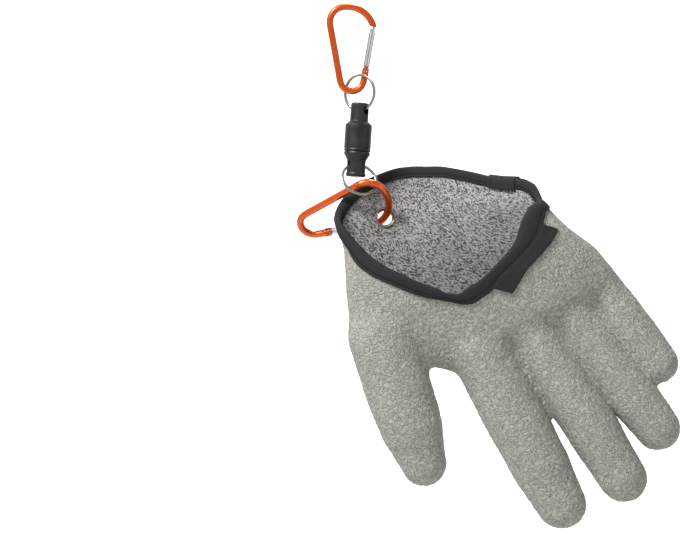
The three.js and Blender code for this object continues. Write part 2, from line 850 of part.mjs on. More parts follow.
// The label is a thin layer of the wall's own offset form, cut out by a deeper block
function labelSolid() {
  const high = labelLift + 3 * labelThickness;
  const low = -high;
  const rows = stopsFrom(labelStart, labelEnd).map((stop) => {
    const inner = rimPlace(stop, tapeWidth + layerGap);
    const outer = rimPlace(stop, tapeWidth + labelWidth);
    return [
      palmPoint(inner.around, inner.height, high),
      palmPoint(outer.around, outer.height, high),
      palmPoint(outer.around, outer.height, low),
      palmPoint(inner.around, inner.height, low),
    ];
  });
  const ends = [
    [0, 1, 2],
    [0, 2, 3],
  ];
  const block = sweep(rows, [2], ends);
  return block.intersect(palmSolid(labelLift + labelThickness, false)).subtract(palmSolid(labelLift, false));
}

// Hanging chain
const upperParts = carabinerParts(upperCarabiner, "upper");
const upperPlan = upperParts.plan;
const densify = (points) => new THREE.CatmullRomCurve3(points, false, "centripetal").getPoints(160);
const upperLine = densify(upperPlan.line);

const up = new THREE.Vector3(0, 0, 1);
const ringOneAcross = new THREE.Vector3(Math.cos(ringOneTurn * degree), -Math.sin(ringOneTurn * degree), 0);
const ringOneCentre = new THREE.Vector3(
  upperPlan.bendX + ringOneAside * upperCarabiner.bendRadius,
  -ringOneForward * ringMean,
  upperPlan.bendZ - upperCarabiner.bendRadius,
);
const upperClear = upperCarabiner.rod / 2 + wireHalf + linkGap;
const ringOnePoints = circlePoints(ringOneCentre, ringOneAcross, up, ringMean, 160);
ringOneCentre.z -= hangDrop(upperLine, ringOnePoints, upperClear);

const clip = new THREE.Group();
clip.rotation.set(0, clipLean * degree, -ringOneTurn * degree);
clip.updateMatrixWorld();
const clipDown = new THREE.Vector3(0, 0, -1).applyQuaternion(clip.quaternion);
const upperWire = upperHoleMargin + threadGap + wireHalf + wireRise(neckWidth);
clip.position.copy(ringOneCentre).addScaledVector(up, -ringMean).addScaledVector(clipDown, -upperWire);

const ringTwoAcross = new THREE.Vector3(Math.cos(ringTwoTurn * degree), Math.sin(ringTwoTurn * degree), 0);
const ringTwoRise = new THREE.Vector3(
  -Math.sin(ringTwoTurn * degree) * Math.sin(ringTwoLean * degree),
  Math.cos(ringTwoTurn * degree) * Math.sin(ringTwoLean * degree),
  Math.cos(ringTwoLean * degree),
);
const lowerWire = clipLength - lowerHoleMargin - threadGap - wireHalf - wireRise(plugNeckWidth);
const ringTwoTop = clip.position.clone().addScaledVector(clipDown, lowerWire);
const ringTwoCentre = ringTwoTop.clone().addScaledVector(ringTwoRise, -ringMean);
const ringTwoPoints = circlePoints(ringTwoCentre, ringTwoAcross, ringTwoRise, ringMean, 160);

const clipSolids = clipParts(ringOneTurn + ringTwoTurn);
clip.add(meshFromSolid("clip_socket", clipSolids.socket, blackPlastic));
clip.add(meshFromSolid("clip_plug", clipSolids.plug, blackPlastic));

// Lower carabiner: its crown points right and a little up, its spine is in front and above
const lowerParts = carabinerParts(lowerCarabiner, "lower");
const lowerPlan = lowerParts.plan;
const climb = lowerClimb * degree;
const crownWay = new THREE.Vector3(
  Math.cos(climb) * Math.cos(lowerYaw * degree),
  -Math.sin(lowerYaw * degree),
  Math.sin(climb) * Math.cos(lowerYaw * degree),
);
const level = new THREE.Vector3(Math.sin(climb), 0, -Math.cos(climb));
const rearward = new THREE.Vector3().crossVectors(level, crownWay).normalize();
if (rearward.y < 0) {
  rearward.negate();
}
const gateSide = new THREE.Vector3()
  .addScaledVector(level, Math.cos(lowerRoll * degree))
  .addScaledVector(rearward, Math.sin(lowerRoll * degree));
gateSide.addScaledVector(crownWay, -gateSide.dot(crownWay)).normalize();
const lowerFace = new THREE.Vector3().crossVectors(crownWay, gateSide);
const lowerTurn = new THREE.Matrix4().makeBasis(gateSide, lowerFace, crownWay);
const lowerLean = lowerCarabiner.spineLean * degree;
const hangPoint = new THREE.Vector3(
  lowerPlan.cornerX - lowerCarabiner.cornerRadius * Math.cos(lowerLean) + lowerHangRun * Math.sin(lowerLean),
  0,
  lowerPlan.cornerZ - lowerCarabiner.cornerRadius * Math.sin(lowerLean) - lowerHangRun * Math.cos(lowerLean),
).applyMatrix4(lowerTurn);
const lowerPlace = ringTwoCentre.clone().addScaledVector(ringTwoRise, -threadStart * ringMean).sub(hangPoint);
const lowerClear = lowerCarabiner.rod / 2 + wireHalf + linkGap;
const lowerStart = densify(lowerPlan.line).map((point) => point.applyMatrix4(lowerTurn).add(lowerPlace));
const lowerDrop = hangDrop(ringTwoPoints, lowerStart, lowerClear);
lowerPlace.z -= lowerDrop;
const lowerLine = lowerStart.map((point) => point.clone().setZ(point.z - lowerDrop));
lowerParts.group.applyMatrix4(lowerTurn);
lowerParts.group.position.copy(lowerPlace);

// Glove: hung by its eyelet on the lower carabiner's rod
const place = eyeletPlace();
const gloveTurn = new THREE.Quaternion().setFromEuler(new THREE.Euler(0, -cuffTilt * degree, 0));
const eyeletNormal = place.normal.clone().applyQuaternion(gloveTurn);
const crossingAngle = Math.PI / 2 - crossingTurn * degree;
const crossing = new THREE.Vector3(
  lowerCarabiner.sweepRadius * Math.cos(crossingAngle),
  0,
  lowerPlan.sweepZ + lowerCarabiner.sweepRadius * Math.sin(crossingAngle),
)
  .applyMatrix4(lowerTurn)
  .add(lowerPlace);
const lipRadius = wall / 2 + layerGap + eyeletSheet;
const eyeletAcross = new THREE.Vector3().crossVectors(up, eyeletNormal).normalize();
const eyeletUp = new THREE.Vector3().crossVectors(eyeletNormal, eyeletAcross);
const lipPoints = circlePoints(crossing, eyeletAcross, eyeletUp, eyeletHole / 2 + lipRadius, 120);
const eyeletClear = lowerCarabiner.rod / 2 + lipRadius + linkGap + 0.1;
const eyeletDrop = hangDrop(lowerLine, lipPoints, eyeletClear);

const glove = new THREE.Group();
glove.quaternion.copy(gloveTurn);
glove.position.copy(crossing).addScaledVector(up, -eyeletDrop);
glove.position.sub(place.middle.clone().applyQuaternion(gloveTurn));

const cutters = eyeletCutters(place);
let shell = gloveForm(0, false).subtract(gloveForm(-latexWall, true));
const linerOuter = wallRows(-latexWall - layerGap);
const linerInner = wallRows(-wall);
let liner = sweep(
  ringStops.map((stop, i) => [
    ...linerOuter.map((row) => row[i]),
    ...linerInner.map((row) => row[i]).reverse(),
  ]),
  linerInner.map((row, i) => linerOuter.length + i).slice(0, -1),
);
for (const cutter of cutters) {
  shell = shell.subtract(cutter);
  liner = liner.subtract(cutter);
}
const binding = sweep(ringStops.map((stop) => tapeSection(stop, 0, tapeWidth)), tapeRising);
const lapBase = layerGap + tapeThickness;
const lapWidth = tapeWidth + 1.2;
const lapSections = stopsFrom(lapStart, lapEnd).map((stop) => tapeSection(stop, lapBase, lapWidth));
const lap = sweep(lapSections, tapeRising, tapeEnds);

glove.add(meshFromSolid("latex_shell", shell, greyLatex));
glove.add(meshFromSolid("knit_liner", liner, speckledKnit));
glove.add(meshFromSolid("cuff_binding", binding, blackTape));
glove.add(meshFromSolid("binding_overlap", lap, blackTape));
glove.add(meshFromSolid("loop_label", labelSolid(), blackTape));
glove.add(meshFromSolid("eyelet", eyeletSolid(place), nickelSteel));

const object = new THREE.Group();
object.add(upperParts.group);
object.add(splitRing("split_ring_upper", ringOneCentre, ringOneAcross, up));
object.add(clip);
object.add(splitRing("split_ring_lower", ringTwoCentre, ringTwoAcross, ringTwoRise));
object.add(lowerParts.group);
object.add(glove);

export default object;
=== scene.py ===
"""A fishing glove that hangs by its cuff eyelet from two carabiners, two split rings and a release clip."""

import math

import bpy
import numpy as np
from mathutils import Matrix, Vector, noise


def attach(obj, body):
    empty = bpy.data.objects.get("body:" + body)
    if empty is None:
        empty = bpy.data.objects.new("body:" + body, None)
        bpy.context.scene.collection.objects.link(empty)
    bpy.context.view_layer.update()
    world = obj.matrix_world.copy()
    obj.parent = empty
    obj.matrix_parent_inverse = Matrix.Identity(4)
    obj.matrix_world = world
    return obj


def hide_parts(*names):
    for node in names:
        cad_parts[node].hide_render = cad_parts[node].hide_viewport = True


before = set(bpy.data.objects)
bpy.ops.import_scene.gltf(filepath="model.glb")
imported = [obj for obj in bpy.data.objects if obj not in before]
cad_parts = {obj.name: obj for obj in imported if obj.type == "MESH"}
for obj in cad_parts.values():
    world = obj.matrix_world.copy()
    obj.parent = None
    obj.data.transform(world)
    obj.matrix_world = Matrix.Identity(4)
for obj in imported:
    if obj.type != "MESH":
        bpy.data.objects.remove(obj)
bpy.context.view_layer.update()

# Camera, stage and light in metres
MM = 0.001
SHOWN_WIDTH = 0.442
LENS = 100.0
SENSOR = 36.0
VIEW_CENTRE = (-0.0049, -0.1685)
GLOVE_DEPTH = -0.012
FLOOR_RADIUS = 3.2
FLOOR_HEIGHT = -0.95
FLOOR_SIDES = 64
LIGHT_TARGET = (0.05, -0.01, -0.2)
WORLD_LIGHT = 0.4

# Glove sizes in millimetres, as the frame has them
GLOVE_PLACE = np.array([58.9138, -15.7401, -131.7465])
CUFF_TILT = math.radians(5.6)
HALF_WIDTH = 67.0
HALF_DEPTH = 24.0
PALM_LENGTH = 77.0
SQUARENESS = 2.6
WALL = 2.4
RIM_RISE = 30.6
RIM_DIP = 55.0
TAPE_WIDTH = 6.0
TAPE_GAP = 0.12
TAPE_THICKNESS = 0.92
LAP = (36.0, 60.0)
LAP_RISE = 1.15
LABEL = (271.0, 306.0)
LABEL_WIDTH = 8.2
FINGER_REACH = 125.0
FINGER_WIDTH = 34.0
FINGER_DEPTH = 0.86
ROOT_TAPER = 0.45
EYELET_AROUND = 116.0
EYELET_HEIGHT = -1.0
EYELET_HOLE = 5.9
BELOW_RIM = 2.6
SKIN_INSET = 0.25
LINING_GAP = 0.1

# Rounds of smoothing: all over, in the band of heights where the fingers start, and at both sides of the
# thumb's root, which are given across and up
FORM_ROUNDS = 10
ROOT_ROUNDS = 44
ROOT_HEIGHTS = [-108, -86, -54, -36]
ROOT_SHARES = [0.0, 1.0, 1.0, 0.0]
THUMB_ROUNDS = 70
THUMB_SIDES = [(-5.0, -103.0), (-66.0, -77.0)]
THUMB_SIDE_REACH = 15.0

# Label: its under and upper face above the wall
LABEL_UNDER = 0.42
LABEL_UPPER = 1.22

# Split rings: the coils' share of the thickness, where they start, and how square their wire is
COIL_SHARE = 0.94
COIL_START = 0.52
COIL_STEPS = 289
COIL_ROUNDNESS = 0.6
COIL_END = 0.03
COIL_END_WIDTH = 0.82

PALM = {
    "down": [-0.52, -0.31, 0, 0.21, 0.43, 0.65, 0.84, 1, 1.1],
    "across": [-0.01, -0.01, 0, 0.1, 0.165, 0.235, 0.48, 0.72, 0.8],
    "width": [0.97, 0.985, 1, 1.05, 1.15, 1.235, 1.14, 1.015, 0.92],
    "turn": [-1, 0, 0, 3, 7, 11, 14.3, 20.3, 21],
    "depth": [1.08, 1.04, 1, 0.96, 0.92, 0.88, 0.81, 0.71, 0.42],
    "back": [0.5, 0.29, 0, -0.08, -0.12, -0.08, 0, 0.04, 0.08],
}
RIM_AROUND = [
    0, 14, 30, 50, 62, 75, 87, 96, 105, 112, 130, 143, 157, 180, 199, 206, 223, 242, 253, 260, 264, 270,
    280, 293, 308, 323, 342, 360,
]
RIM_SHARE = [
    0, 0.33, 0.48, 0.55, 0.63, 0.79, 0.94, 1, 0.985, 0.93, 0.76, 0.585, 0.35, 0, -0.125, -0.22, -0.41,
    -0.605, -0.76, -0.86, -1, -0.93, -0.76, -0.556, -0.26, -0.1, -0.03, 0,
]
# For each finger: across, down, lean, reach, root, middle, tip, back
FINGERS = [
    (-0.69, 0.935, 13, 0.737, 1.4, 1.32, 0.93, -0.12),
    (0.23, 1.157, 23, 0.935, 1.24, 1.19, 0.95, -0.06),
    (0.68, 0.94, 26.7, 1, 0.98, 1.04, 0.95, 0),
    (1.083, 0.83, 31.4, 0.846, 0.94, 0.97, 0.9, 0.06),
    (1.324, 0.503, 30.4, 0.682, 0.66, 0.84, 0.81, 0.1),
]
# Along a finger, and the blend of its root, middle and tip widths
STATIONS = [(-0.3, -1.4), (-0.12, -0.6), (0, 0), (0.25, 0.6), (0.5, 1), (0.78, 1.3), (1, 2)]

# Fineness of the meshes, and the folds, crinkle, stitches and knit, in millimetres
SKIN_VOXEL = 1.08
LINING_VOXEL = 1.15
FOLD_DEPTH = 1.5
RIPPLE_DEPTH = 0.35
CRINKLE_DEPTH = 0.5
STITCH_PITCH = 2.3
STITCH_DOWN = 3.95
BAR_PITCH = 1.6
BAR_INSET = 2.2
WALE = 1.0
COURSE = 0.88
WALE_LEAN = math.radians(42)


# Forms
def power(value):
    return np.sign(value) * np.abs(value) ** (2 / SQUARENESS)


def palm_column(name, height):
    return np.interp(-np.asarray(height, float) / PALM_LENGTH, PALM["down"], PALM[name])


def palm_point(around, height, offset):
    """Points of the palm's surface, in the glove's own millimetres."""
    angle = np.radians(around)
    turn = np.radians(palm_column("turn", height))
    reach = (palm_column("width", height) * HALF_WIDTH + offset) * power(np.cos(angle))
    deep = (palm_column("depth", height) * HALF_DEPTH + offset) * power(np.sin(angle))
    x = palm_column("across", height) * HALF_WIDTH + reach * np.cos(turn)
    y = palm_column("back", height) * HALF_DEPTH + deep
    z = height + reach * np.sin(turn)
    return np.stack(np.broadcast_arrays(x, y, z), -1)


def smooth_rim():
    """Rim heights at every degree, rounded a little where the table has its corners."""
    angles = np.arange(360.0)
    share = np.interp(angles, RIM_AROUND, RIM_SHARE)
    raw = share * np.where(share < 0, RIM_DIP, RIM_RISE)
    steps = np.arange(-8, 9)
    weights = np.exp(-0.5 * (steps / 2.2) ** 2)
    weights /= weights.sum()
    return sum(w * np.roll(raw, -s) for w, s in zip(weights, steps))


RIM = smooth_rim()


def rim_height(around):
    return np.interp(np.mod(around, 360.0), np.arange(361.0), np.append(RIM, RIM[0]))


def rim_place(around, distance):
    """Angle and height of the rim's line, moved down the wall by a distance."""
    step = 6.0
    before = palm_point(around - step, rim_height(around - step), 0)
    after = palm_point(around + step, rim_height(around + step), 0)
    run = np.hypot(after[..., 0] - before[..., 0], after[..., 1] - before[..., 1])
    climb = rim_height(around + step) - rim_height(around - step)
    length = np.hypot(run, climb)
    moved = around + distance * climb / length * 2 * step / run
    return moved, rim_height(around) - distance * run / length


def rim_point(around, distance, offset):
    moved, height = rim_place(around, distance)
    return palm_point(moved, height, offset)


def palm_coordinates(points):
    """The angle round the palm and the height of points near its wall."""
    height = points[:, 2].copy()
    for _ in range(6):
        turn = np.radians(palm_column("turn", height))
        along = (points[:, 0] - palm_column("across", height) * HALF_WIDTH) / np.cos(turn)
        height = points[:, 2] - along * np.sin(turn)
    across = along / (palm_column("width", height) * HALF_WIDTH)
    behind = points[:, 1] - palm_column("back", height) * HALF_DEPTH
    deep = behind / (palm_column("depth", height) * HALF_DEPTH)
    bend = SQUARENESS / 2
    angle = np.arctan2(np.sign(deep) * np.abs(deep) ** bend, np.sign(across) * np.abs(across) ** bend)
    return np.mod(np.degrees(angle), 360.0), height


def eyelet_middle():
    return palm_point(EYELET_AROUND, EYELET_HEIGHT, -WALL / 2)


def arc_lengths(line):
    """Length along a line of points, at each of them."""
    return np.concatenate([[0], np.cumsum(np.linalg.norm(np.diff(line, axis=0), axis=1))])


def placed(points):
    """The glove's own millimetres to the frame's metres."""
    x = points[..., 0] * math.cos(CUFF_TILT) - points[..., 2] * math.sin(CUFF_TILT)
    z = points[..., 0] * math.sin(CUFF_TILT) + points[..., 2] * math.cos(CUFF_TILT)
    return (np.stack([x, points[..., 1], z], -1) + GLOVE_PLACE) * MM


# Meshes
def mesh_object(name, points, faces, material=None):
    mesh = bpy.data.meshes.new(name)
    mesh.from_pydata([tuple(p) for p in points], [], faces)
    mesh.update()
    obj = bpy.data.objects.new(name, mesh)
    bpy.context.scene.collection.objects.link(obj)
    if material:
        mesh.materials.append(material)
    shaded_smooth(mesh)
    return obj


def shaded_smooth(mesh):
    mesh.polygons.foreach_set("use_smooth", [True] * len(mesh.polygons))


def lofted(rings, closed_rows=False):
    """Points and faces of a skin over rings of equal length."""
    rings = np.asarray(rings)
    rows, sides = rings.shape[:2]
    points = [tuple(p) for ring in rings for p in ring]
    faces = []
    last = rows if closed_rows else rows - 1
    for i in range(last):
        low = i * sides
        high = (i + 1) % rows * sides
        for j in range(sides):
            k = (j + 1) % sides
            faces.append((low + j, low + k, high + k, high + j))
    if not closed_rows:
        faces.append(tuple(range(sides))[::-1])
        faces.append(tuple((rows - 1) * sides + j for j in range(sides)))
    return points, faces


def joined(parts):
    points = []
    faces = []
    for part_points, part_faces in parts:
        start = len(points)
        points.extend(part_points)
        faces.extend(tuple(start + i for i in face) for face in part_faces)
    return points, faces


def palm_rings(offset):
    around = np.arange(0, 360, 3.0)
    heights = np.concatenate([np.arange(37, -78, -3.0), [-79, -82, -84.7]])
    return [palm_point(around, height, offset) for height in heights]


def finger_rings(finger, offset):
    across, down, lean, reach, root, middle, tip, back = finger
    lean = math.radians(lean)
    way = np.array([math.sin(lean), 0, -math.cos(lean)])
    side = np.array([math.cos(lean), 0, math.sin(lean)])
    start = np.array([across * HALF_WIDTH, back * HALF_DEPTH, -down * PALM_LENGTH])
    length = reach * FINGER_REACH
    angle = np.radians(np.arange(0, 360, 10.0))
    rings = []

    def ring(along, half_width, half_depth):
        spread = np.outer(np.cos(angle) * half_width, side)
        spread[:, 1] += np.sin(angle) * half_depth
        rings.append(start + way * along + spread)

    alongs = [s[0] for s in STATIONS]
    blends = [s[1] for s in STATIONS]
    for along in np.linspace(alongs[0], 1, 30):
        blend = np.interp(along, alongs, blends)
        if blend < 0:
            share = root * (1 + ROOT_TAPER * blend)
        else:
            share = np.interp(blend, [0, 1, 2], [root, middle, tip])
        half = share * FINGER_WIDTH / 2
        ring(along * length, half + offset, half * FINGER_DEPTH + offset)
    half = tip * FINGER_WIDTH / 2
    for turn in np.linspace(0, 0.97, 9)[1:] * math.pi / 2:
        shrink = math.cos(turn)
        ring(length + (half + offset) * math.sin(turn), (half + offset) * shrink,
             (half * FINGER_DEPTH + offset) * shrink)
    return rings


def remeshed(obj, voxel):
    modifier = obj.modifiers.new("voxels", "REMESH")
    modifier.mode = "VOXEL"
    modifier.voxel_size = voxel
    modifier.adaptivity = 0
    depsgraph = bpy.context.evaluated_depsgraph_get()
    mesh = bpy.data.meshes.new_from_object(obj.evaluated_get(depsgraph))
    old = obj.data
    obj.modifiers.clear()
    obj.data = mesh
    bpy.data.meshes.remove(old)
    return obj


def coordinates(mesh):
    co = np.empty(len(mesh.vertices) * 3, np.float32)
    mesh.vertices.foreach_get("co", co)
    return co.reshape(-1, 3).astype(float)


def set_coordinates(mesh, points):
    mesh.vertices.foreach_set("co", points.astype(np.float32).ravel())
    mesh.update()


def vertex_normals(mesh):
    normals = np.empty(len(mesh.vertices) * 3, np.float32)
    mesh.vertex_normals.foreach_get("vector", normals)
    return normals.reshape(-1, 3).astype(float)


def edge_pairs(mesh):
    pairs = np.empty(len(mesh.edges) * 2, np.int32)
    mesh.edges.foreach_get("vertices", pairs)
    return pairs.reshape(-1, 2)


def relaxed(mesh, rounds, back=0.96, share=None):
    """Moves each vertex towards the mean of its neighbours, then by back of that way out again."""
    points = coordinates(mesh)
    pairs = edge_pairs(mesh)
    count = np.bincount(pairs.ravel(), minlength=len(points)).clip(1)
    steps = [0.5, -0.5 * back] if back else [0.5]
    for strength in steps * rounds:
        total = np.stack([
            np.bincount(pairs[:, 0], points[pairs[:, 1], axis], len(points))
            + np.bincount(pairs[:, 1], points[pairs[:, 0], axis], len(points))
            for axis in range(3)
        ], -1)
        move = strength * (total / count[:, None] - points)
        points += move if share is None else move * share[:, None]
    set_coordinates(mesh, points)


def without(mesh, drop):
    """A mesh without the vertices that are marked."""
    points = coordinates(mesh)
    keep = ~drop
    index = np.cumsum(keep) - 1
    faces = []
    for polygon in mesh.polygons:
        corners = polygon.vertices[:]
        if keep[list(corners)].all():
            faces.append(tuple(int(index[c]) for c in corners))
    new = bpy.data.meshes.new(mesh.name)
    new.from_pydata([tuple(p) for p in points[keep]], [], faces)
    new.update()
    return new


def noise_values(points, scale, seed):
    shift = Vector((seed * 13.7, seed * 7.3, seed * 3.1))
    return np.array([noise.noise(Vector(p) * scale + shift) for p in points])


def corner_vertices(mesh):
    corners = np.empty(len(mesh.loops), np.int32)
    mesh.loops.foreach_get("vertex_index", corners)
    return corners


def set_uv(mesh, name, uv):
    mesh.uv_layers.new(name=name).data.foreach_set("uv", uv.astype(np.float32).ravel())


def set_attribute(mesh, name, values):
    attribute = mesh.attributes.new(name, "FLOAT", "POINT")
    attribute.data.foreach_set("value", values.astype(np.float32))


# Materials
class Nodes:
    """A material's node tree with short calls for the nodes that the materials share."""

    def __init__(self, name):
        self.material = bpy.data.materials.new(name)
        self.material.use_nodes = True
        self.tree = self.material.node_tree
        self.shader = self.tree.nodes["Principled BSDF"]
        self.coordinates = self.tree.nodes.new("ShaderNodeTexCoord")

    def put(self, socket, value):
        if isinstance(value, bpy.types.NodeSocket):
            self.tree.links.new(value, socket)
        else:
            socket.default_value = value

    def math(self, operation, first, second=0.0):
        node = self.tree.nodes.new("ShaderNodeMath")
        node.operation = operation
        self.put(node.inputs[0], first)
        self.put(node.inputs[1], second)
        return node.outputs[0]

    def noise(self, scale, detail=2.0, roughness=0.5, vector=None, distortion=0.0):
        node = self.tree.nodes.new("ShaderNodeTexNoise")
        self.put(node.inputs["Vector"], vector or self.coordinates.outputs["Object"])
        self.put(node.inputs["Scale"], scale)
        self.put(node.inputs["Detail"], detail)
        self.put(node.inputs["Roughness"], roughness)
        self.put(node.inputs["Distortion"], distortion)
        return node.outputs["Fac"]

    def stretched(self, x, y, z):
        node = self.tree.nodes.new("ShaderNodeMapping")
        self.put(node.inputs["Vector"], self.coordinates.outputs["Object"])
        node.inputs["Scale"].default_value = (x, y, z)
        return node.outputs["Vector"]

    def remap(self, value, low, high, to_low=0.0, to_high=1.0):
        node = self.tree.nodes.new("ShaderNodeMapRange")
        self.put(node.inputs["Value"], value)
        limits = (("From Min", low), ("From Max", high), ("To Min", to_low), ("To Max", to_high))
        for name, number in limits:
            self.put(node.inputs[name], number)
        return node.outputs["Result"]

    def mix(self, share, first, second):
        node = self.tree.nodes.new("ShaderNodeMix")
        node.data_type = "RGBA"
        self.put(node.inputs["Factor"], share)
        for socket, value in ((node.inputs[6], first), (node.inputs[7], second)):
            self.put(socket, value if isinstance(value, bpy.types.NodeSocket) else (*value, 1.0))
        return node.outputs[2]

    def attribute(self, name):
        node = self.tree.nodes.new("ShaderNodeAttribute")
        node.attribute_name = name
        return node.outputs["Fac"]

    def bump(self, height, distance, strength=1.0):
        node = self.tree.nodes.new("ShaderNodeBump")
        node.inputs["Strength"].default_value = strength
        node.inputs["Distance"].default_value = distance
        self.put(node.inputs["Height"], height)
        if self.shader.inputs["Normal"].is_linked:
            self.put(node.inputs["Normal"], self.shader.inputs["Normal"].links[0].from_socket)
        self.tree.links.new(node.outputs["Normal"], self.shader.inputs["Normal"])

    def set(self, name, value):
        if isinstance(value, tuple):
            value = (*value, 1.0)
        self.put(self.shader.inputs[name], value)


def anodised():
    n = Nodes("anodised_orange")
    tone = n.noise(90, 4)
    n.set("Base Color", n.mix(n.remap(tone, 0.3, 0.7), (0.66, 0.086, 0.005), (0.72, 0.104, 0.008)))
    n.set("Metallic", 0.62)
    n.set("Roughness", n.remap(n.noise(240, 3), 0.3, 0.7, 0.27, 0.3))
    n.set("Coat Weight", 0.5)
    n.set("Coat Roughness", 0.1)
    n.bump(n.noise(1500, 2), 0.000002, 0.2)
    return n.material


def satin_silver():
    n = Nodes("satin_silver")
    streaks = n.noise(1.0, 3, vector=n.stretched(5000, 5000, 260))
    n.set("Base Color", n.mix(n.remap(streaks, 0.3, 0.7), (0.56, 0.565, 0.58), (0.74, 0.745, 0.76)))
    n.set("Metallic", 1.0)
    n.set("Roughness", n.remap(streaks, 0.3, 0.7, 0.22, 0.38))
    n.bump(streaks, 0.00001, 0.4)
    return n.material


def nickel(name, light, dark, metallic, smooth, rough):
    n = Nodes(name)
    tone = n.noise(420, 3)
    n.set("Base Color", n.mix(n.remap(tone, 0.35, 0.68), light, dark))
    n.set("Metallic", metallic)
    n.set("Roughness", n.remap(tone, 0.3, 0.7, smooth, rough))
    n.bump(n.noise(3000, 2), 0.000002, 0.2)
    return n.material


def moulded_black():
    n = Nodes("moulded_black")
    grain = n.noise(3800, 3, 0.6)
    wear = n.noise(140, 4)
    n.set("Base Color", n.mix(n.remap(wear, 0.45, 0.75), (0.014, 0.0135, 0.015), (0.028, 0.027, 0.03)))
    n.set("Roughness", n.remap(wear, 0.3, 0.7, 0.36, 0.52))
    n.set("Specular IOR Level", 0.42)
    n.bump(grain, 0.00004, 0.5)
    return n.material


def crinkled_latex():
    n = Nodes("crinkled_latex")
    ridge = n.attribute("ridge")
    fold = n.math("ABSOLUTE", n.math("SUBTRACT", n.noise(400, 1.0, distortion=0.7), 0.5))
    # Mask of thin groove lines in the crinkle, used below for painted shade in the base colour and for
    # roughness
    valley = n.remap(fold, 0.0, 0.06, 1.0, 0.0)
    swell = n.remap(fold, 0.0, 0.14)
    speck = n.noise(3600, 2)
    tone = n.mix(n.remap(speck, 0.3, 0.7), (0.39, 0.381, 0.338), (0.43, 0.42, 0.375))
    # Painted shade: the thin crinkle grooves, which the mesh does not carry, are painted near-black
    tone = n.mix(n.math("MULTIPLY", valley, 0.66), tone, (0.085, 0.081, 0.069))
    # Painted shade: darker in the hollows between the crinkle ridges, where the ridge attribute is low
    tone = n.mix(n.remap(ridge, 0.0, 0.4, 0.1, 0.0), tone, (0.17, 0.164, 0.142))
    stain = n.remap(n.noise(26, 4, 0.6), 0.35, 0.7)
    n.set("Base Color", n.mix(n.math("MULTIPLY", stain, 0.1), tone, (0.24, 0.235, 0.21)))
    n.set("Roughness", n.remap(valley, 0.0, 1.0, 0.66, 0.9))
    n.set("Specular IOR Level", 0.3)
    n.bump(swell, 0.0004, 1.0)
    n.bump(speck, 0.00005, 0.6)
    return n.material


def knitted():
    """Loops of pale yarn with black flecks. The UV counts wales across and courses along."""
    n = Nodes("speckled_knit")
    split = n.tree.nodes.new("ShaderNodeSeparateXYZ")
    n.tree.links.new(n.coordinates.outputs["UV"], split.inputs[0])
    wobble = n.math("MULTIPLY", n.math("SUBTRACT", n.noise(420, 2), 0.5), 0.34)
    wale = n.math("ADD", split.outputs[0], wobble)
    side = n.math("ABSOLUTE", n.math("SUBTRACT", n.math("FRACT", wale), 0.5))
    course = n.math("ADD", n.math("SUBTRACT", split.outputs[1], n.math("MULTIPLY", side, 1.9)), wobble)
    leg = n.math("SINE", n.math("MULTIPLY", n.math("FRACT", course), math.pi))
    body = n.math("ABSOLUTE", n.math("SINE", n.math("MULTIPLY", wale, 2 * math.pi)))
    loop = n.math("MULTIPLY", n.math("POWER", leg, 0.55), n.math("POWER", body, 0.5))
    cell = n.tree.nodes.new("ShaderNodeCombineXYZ")
    n.put(cell.inputs[0], n.math("FLOOR", n.math("MULTIPLY", wale, 2.0)))
    n.put(cell.inputs[1], n.math("FLOOR", course))
    chance = n.tree.nodes.new("ShaderNodeTexWhiteNoise")
    n.tree.links.new(cell.outputs[0], chance.inputs["Vector"])
    patches = n.remap(n.noise(40, 2), 0.3, 0.7, 0.5, 0.62)
    fleck = n.math("GREATER_THAN", chance.outputs["Value"], patches)
    fuzz = n.noise(5200, 2)
    yarn = n.mix(n.remap(fuzz, 0.3, 0.7), (0.58, 0.575, 0.56), (0.86, 0.855, 0.84))
    dark = n.mix(n.remap(fuzz, 0.3, 0.7), (0.035, 0.035, 0.038), (0.16, 0.16, 0.165))
    strand = n.mix(n.math("MULTIPLY", fleck, 0.93), yarn, dark)
    shade = n.remap(loop, 0.0, 0.75, 0.62, 0.0)
    n.set("Base Color", n.mix(shade, strand, (0.07, 0.068, 0.066)))
    n.set("Roughness", 0.92)
    n.set("Specular IOR Level", 0.2)
    n.bump(loop, 0.00055, 0.8)
    n.bump(fuzz, 0.00006, 0.6)
    return n.material


def woven(name, low, high, ribs, roughness):
    """Tape or label: the UV counts ribs along the tape, and turns across it."""
    n = Nodes(name)
    split = n.tree.nodes.new("ShaderNodeSeparateXYZ")
    n.tree.links.new(n.coordinates.outputs["UV"], split.inputs[0])
    rib = n.math("SINE", n.math("MULTIPLY", split.outputs[0], 2 * math.pi * ribs))
    cross = n.math("SINE", n.math("MULTIPLY", split.outputs[1], 2 * math.pi * ribs * 1.4))
    weave = n.math("MULTIPLY", rib, cross)
    lint = n.noise(2600, 4, 0.65)
    share = n.math("ADD", n.remap(weave, -1, 1, 0, 0.55), n.math("MULTIPLY", lint, 0.55))
    n.set("Base Color", n.mix(share, low, high))
    n.set("Roughness", roughness)
    n.set("Specular IOR Level", 0.22)
    n.bump(weave, 0.00009, 0.8)
    n.bump(lint, 0.00005, 0.5)
    return n.material


def plain_stage():
    n = Nodes("pale_floor")
    n.set("Base Color", n.mix(n.noise(3, 2), (0.86, 0.86, 0.86), (0.89, 0.89, 0.89)))
    n.set("Roughness", 0.9)
    return n.material


def lit_wall():
    n = Nodes("lit_backdrop")
    n.set("Base Color", (0.9, 0.9, 0.9))
    n.set("Emission Color", (1.0, 1.0, 1.0))
    n.set("Emission Strength", 0.85)
    return n.material


